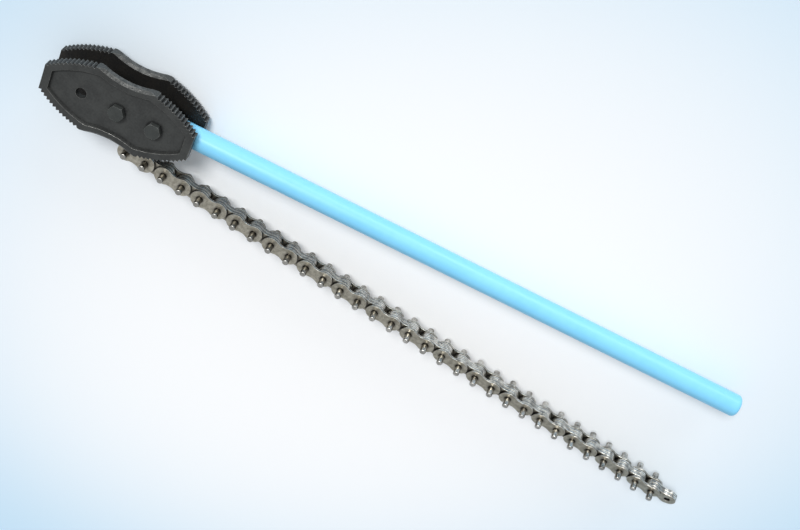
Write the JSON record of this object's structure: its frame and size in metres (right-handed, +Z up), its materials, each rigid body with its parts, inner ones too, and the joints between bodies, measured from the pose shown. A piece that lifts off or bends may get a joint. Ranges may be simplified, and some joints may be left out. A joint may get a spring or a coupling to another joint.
{
  "type": "chain pipe wrench",
  "caption": "Chain pipe wrench with two reversible toothed jaw plates on a long round handle and a long-pin leaf chain that wraps a pipe and hooks on the jaws.",
  "frame": {"origin": "on the pivot bolt's axis, in the plane of the nuts' lower faces, on which the wrench lies", "axes": "+X along the handle from the jaws to its far end, +Z up along the jaw bolts, rear jaw to front jaw"},
  "size_m": [0.9309, 0.2301, 0.063],
  "materials": {
    "handle_paint": "glossy light blue enamel",
    "jaw_steel": "black-oxide drop-forged steel, satin",
    "bolt_steel": "black-oxide steel",
    "chain_steel": "oiled, slightly tarnished steel",
    "pin_steel": "turned steel"
  },
  "bodies": {
    "wrench_head": {"handle": "handle_paint", "front_jaw": "jaw_steel", "rear_jaw": "jaw_steel", "pivot_bolt": "bolt_steel", "clamp_bolt": "bolt_steel", "pivot_bush": "pin_steel", "jaw_nuts": "bolt_steel", "lock_washers": "bolt_steel"},
    "anchor": {"anchor_link": "chain_steel"},
    "link_01": {"outer_plates_01": "chain_steel", "long_pins_01": "pin_steel"},
    "link_02": {"inner_link_01": "chain_steel"},
    "link_03": {"outer_plates_02": "chain_steel", "long_pins_02": "pin_steel"},
    "link_04": {"inner_link_02": "chain_steel"},
    "link_05": {"outer_plates_03": "chain_steel", "long_pins_03": "pin_steel"},
    "link_06": {"inner_link_03": "chain_steel"},
    "link_07": {"outer_plates_04": "chain_steel", "long_pins_04": "pin_steel"},
    "link_08": {"inner_link_04": "chain_steel"},
    "link_09": {"outer_plates_05": "chain_steel", "long_pins_05": "pin_steel"},
    "link_10": {"inner_link_05": "chain_steel"},
    "link_11": {"outer_plates_06": "chain_steel", "long_pins_06": "pin_steel"},
    "link_12": {"inner_link_06": "chain_steel"},
    "link_13": {"outer_plates_07": "chain_steel", "long_pins_07": "pin_steel"},
    "link_14": {"inner_link_07": "chain_steel"},
    "link_15": {"outer_plates_08": "chain_steel", "long_pins_08": "pin_steel"},
    "link_16": {"inner_link_08": "chain_steel"},
    "link_17": {"outer_plates_09": "chain_steel", "long_pins_09": "pin_steel"},
    "link_18": {"inner_link_09": "chain_steel"},
    "link_19": {"outer_plates_10": "chain_steel", "long_pins_10": "pin_steel"},
    "link_20": {"inner_link_10": "chain_steel"},
    "link_21": {"outer_plates_11": "chain_steel", "long_pins_11": "pin_steel"},
    "link_22": {"inner_link_11": "chain_steel"},
    "link_23": {"outer_plates_12": "chain_steel", "long_pins_12": "pin_steel"},
    "link_24": {"inner_link_12": "chain_steel"},
    "link_25": {"outer_plates_13": "chain_steel", "long_pins_13": "pin_steel"},
    "link_26": {"inner_link_13": "chain_steel"},
    "link_27": {"outer_plates_14": "chain_steel", "long_pins_14": "pin_steel"},
    "link_28": {"inner_link_14": "chain_steel"},
    "link_29": {"outer_plates_15": "chain_steel", "long_pins_15": "pin_steel"},
    "link_30": {"inner_link_15": "chain_steel"},
    "link_31": {"outer_plates_16": "chain_steel", "long_pins_16": "pin_steel"},
    "link_32": {"end_link": "chain_steel"}
  },
  "joints": [
    {"name": "anchor_swing", "type": "hinge", "parent": "wrench_head", "child": "anchor", "pos_m": [0, 0, 0.032], "axis": [0, 0, 1], "range_deg": [-56, 9]},
    {"name": "fold_01", "type": "hinge", "parent": "anchor", "child": "link_01", "pos_m": [0.02183, -0.05717, 0.032], "axis": [-0.0019, -0.013, 0.9999], "range_deg": [-38, 9]},
    {"name": "fold_02", "type": "hinge", "parent": "link_01", "child": "link_02", "pos_m": [0.04697, -0.0608, 0.032], "axis": [0.0019, 0.013, -0.9999], "range_deg": [-9, 38]},
    {"name": "fold_03", "type": "hinge", "parent": "link_02", "child": "link_03", "pos_m": [0.07211, -0.06442, 0.032], "axis": [-0.0056, -0.0389, 0.9992], "range_deg": [-38, 10]},
    {"name": "fold_04", "type": "hinge", "parent": "link_03", "child": "link_04", "pos_m": [0.09725, -0.06804, 0.032], "axis": [0.0056, 0.0389, -0.9992], "range_deg": [-10, 38]},
    {"name": "fold_05", "type": "hinge", "parent": "link_04", "child": "link_05", "pos_m": [0.12239, -0.07166, 0.032], "axis": [-0.0093, -0.0647, 0.9979], "range_deg": [-38, 10]},
    {"name": "fold_06", "type": "hinge", "parent": "link_05", "child": "link_06", "pos_m": [0.14753, -0.07529, 0.032], "axis": [0.0093, 0.0647, -0.9979], "range_deg": [-11, 38]},
    {"name": "fold_07", "type": "hinge", "parent": "link_06", "child": "link_07", "pos_m": [0.17267, -0.07891, 0.032], "axis": [-0.0131, -0.0906, 0.9958], "range_deg": [-38, 11]},
    {"name": "fold_08", "type": "hinge", "parent": "link_07", "child": "link_08", "pos_m": [0.19781, -0.08253, 0.032], "axis": [0.0131, 0.0906, -0.9958], "range_deg": [-12, 38]},
    {"name": "fold_09", "type": "hinge", "parent": "link_08", "child": "link_09", "pos_m": [0.22295, -0.08616, 0.032], "axis": [-0.0168, -0.1163, 0.9931], "range_deg": [-38, 13]},
    {"name": "fold_10", "type": "hinge", "parent": "link_09", "child": "link_10", "pos_m": [0.2481, -0.08978, 0.032], "axis": [0.0168, 0.1163, -0.9931], "range_deg": [-13, 38]},
    {"name": "fold_11", "type": "hinge", "parent": "link_10", "child": "link_11", "pos_m": [0.27324, -0.0934, 0.032], "axis": [-0.0205, -0.142, 0.9897], "range_deg": [-38, 14]},
    {"name": "fold_12", "type": "hinge", "parent": "link_11", "child": "link_12", "pos_m": [0.29838, -0.09702, 0.032], "axis": [0.0205, 0.142, -0.9897], "range_deg": [-15, 38]},
    {"name": "fold_13", "type": "hinge", "parent": "link_12", "child": "link_13", "pos_m": [0.32352, -0.10065, 0.032], "axis": [-0.0242, -0.1676, 0.9856], "range_deg": [-38, 15]},
    {"name": "fold_14", "type": "hinge", "parent": "link_13", "child": "link_14", "pos_m": [0.34866, -0.10427, 0.032], "axis": [0.0242, 0.1676, -0.9856], "range_deg": [-16, 38]},
    {"name": "fold_15", "type": "hinge", "parent": "link_14", "child": "link_15", "pos_m": [0.3738, -0.10789, 0.032], "axis": [-0.0278, -0.1931, 0.9808], "range_deg": [-38, 17]},
    {"name": "fold_16", "type": "hinge", "parent": "link_15", "child": "link_16", "pos_m": [0.39894, -0.11151, 0.032], "axis": [0.0278, 0.1931, -0.9808], "range_deg": [-18, 38]},
    {"name": "fold_17", "type": "hinge", "parent": "link_16", "child": "link_17", "pos_m": [0.42408, -0.11514, 0.032], "axis": [-0.0315, -0.2184, 0.9753], "range_deg": [-38, 19]},
    {"name": "fold_18", "type": "hinge", "parent": "link_17", "child": "link_18", "pos_m": [0.44922, -0.11876, 0.032], "axis": [0.0315, 0.2184, -0.9753], "range_deg": [-21, 38]},
    {"name": "fold_19", "type": "hinge", "parent": "link_18", "child": "link_19", "pos_m": [0.47436, -0.12238, 0.032], "axis": [-0.0351, -0.2436, 0.9692], "range_deg": [-38, 22]},
    {"name": "fold_20", "type": "hinge", "parent": "link_19", "child": "link_20", "pos_m": [0.4995, -0.12601, 0.032], "axis": [0.0351, 0.2436, -0.9692], "range_deg": [-24, 38]},
    {"name": "fold_21", "type": "hinge", "parent": "link_20", "child": "link_21", "pos_m": [0.52464, -0.12963, 0.032], "axis": [-0.0387, -0.2687, 0.9625], "range_deg": [-38, 27]},
    {"name": "fold_22", "type": "hinge", "parent": "link_21", "child": "link_22", "pos_m": [0.54978, -0.13325, 0.032], "axis": [0.0387, 0.2687, -0.9625], "range_deg": [-29, 38]},
    {"name": "fold_23", "type": "hinge", "parent": "link_22", "child": "link_23", "pos_m": [0.57492, -0.13687, 0.032], "axis": [-0.0423, -0.2935, 0.955], "range_deg": [-38, 33]},
    {"name": "fold_24", "type": "hinge", "parent": "link_23", "child": "link_24", "pos_m": [0.60006, -0.1405, 0.032], "axis": [0.0423, 0.2935, -0.955], "range_deg": [-37, 38]},
    {"name": "fold_25", "type": "hinge", "parent": "link_24", "child": "link_25", "pos_m": [0.6252, -0.14412, 0.032], "axis": [-0.0458, -0.3182, 0.9469], "range_deg": [-38, 38]},
    {"name": "fold_26", "type": "hinge", "parent": "link_25", "child": "link_26", "pos_m": [0.65034, -0.14774, 0.032], "axis": [0.0458, 0.3182, -0.9469], "range_deg": [-38, 38]},
    {"name": "fold_27", "type": "hinge", "parent": "link_26", "child": "link_27", "pos_m": [0.67548, -0.15137, 0.032], "axis": [-0.0494, -0.3426, 0.9382], "range_deg": [-38, 38]},
    {"name": "fold_28", "type": "hinge", "parent": "link_27", "child": "link_28", "pos_m": [0.70062, -0.15499, 0.032], "axis": [0.0494, 0.3426, -0.9382], "range_deg": [-38, 38]},
    {"name": "fold_29", "type": "hinge", "parent": "link_28", "child": "link_29", "pos_m": [0.72576, -0.15861, 0.032], "axis": [-0.0529, -0.3668, 0.9288], "range_deg": [-38, 38]},
    {"name": "fold_30", "type": "hinge", "parent": "link_29", "child": "link_30", "pos_m": [0.7509, -0.16223, 0.032], "axis": [0.0529, 0.3668, -0.9288], "range_deg": [-38, 38]},
    {"name": "fold_31", "type": "hinge", "parent": "link_30", "child": "link_31", "pos_m": [0.77604, -0.16586, 0.032], "axis": [-0.0563, -0.3907, 0.9188], "range_deg": [-38, 38]},
    {"name": "fold_32", "type": "hinge", "parent": "link_31", "child": "link_32", "pos_m": [0.80118, -0.16948, 0.032], "axis": [0.0563, 0.3907, -0.9188], "range_deg": [-38, 38]}
  ]
}
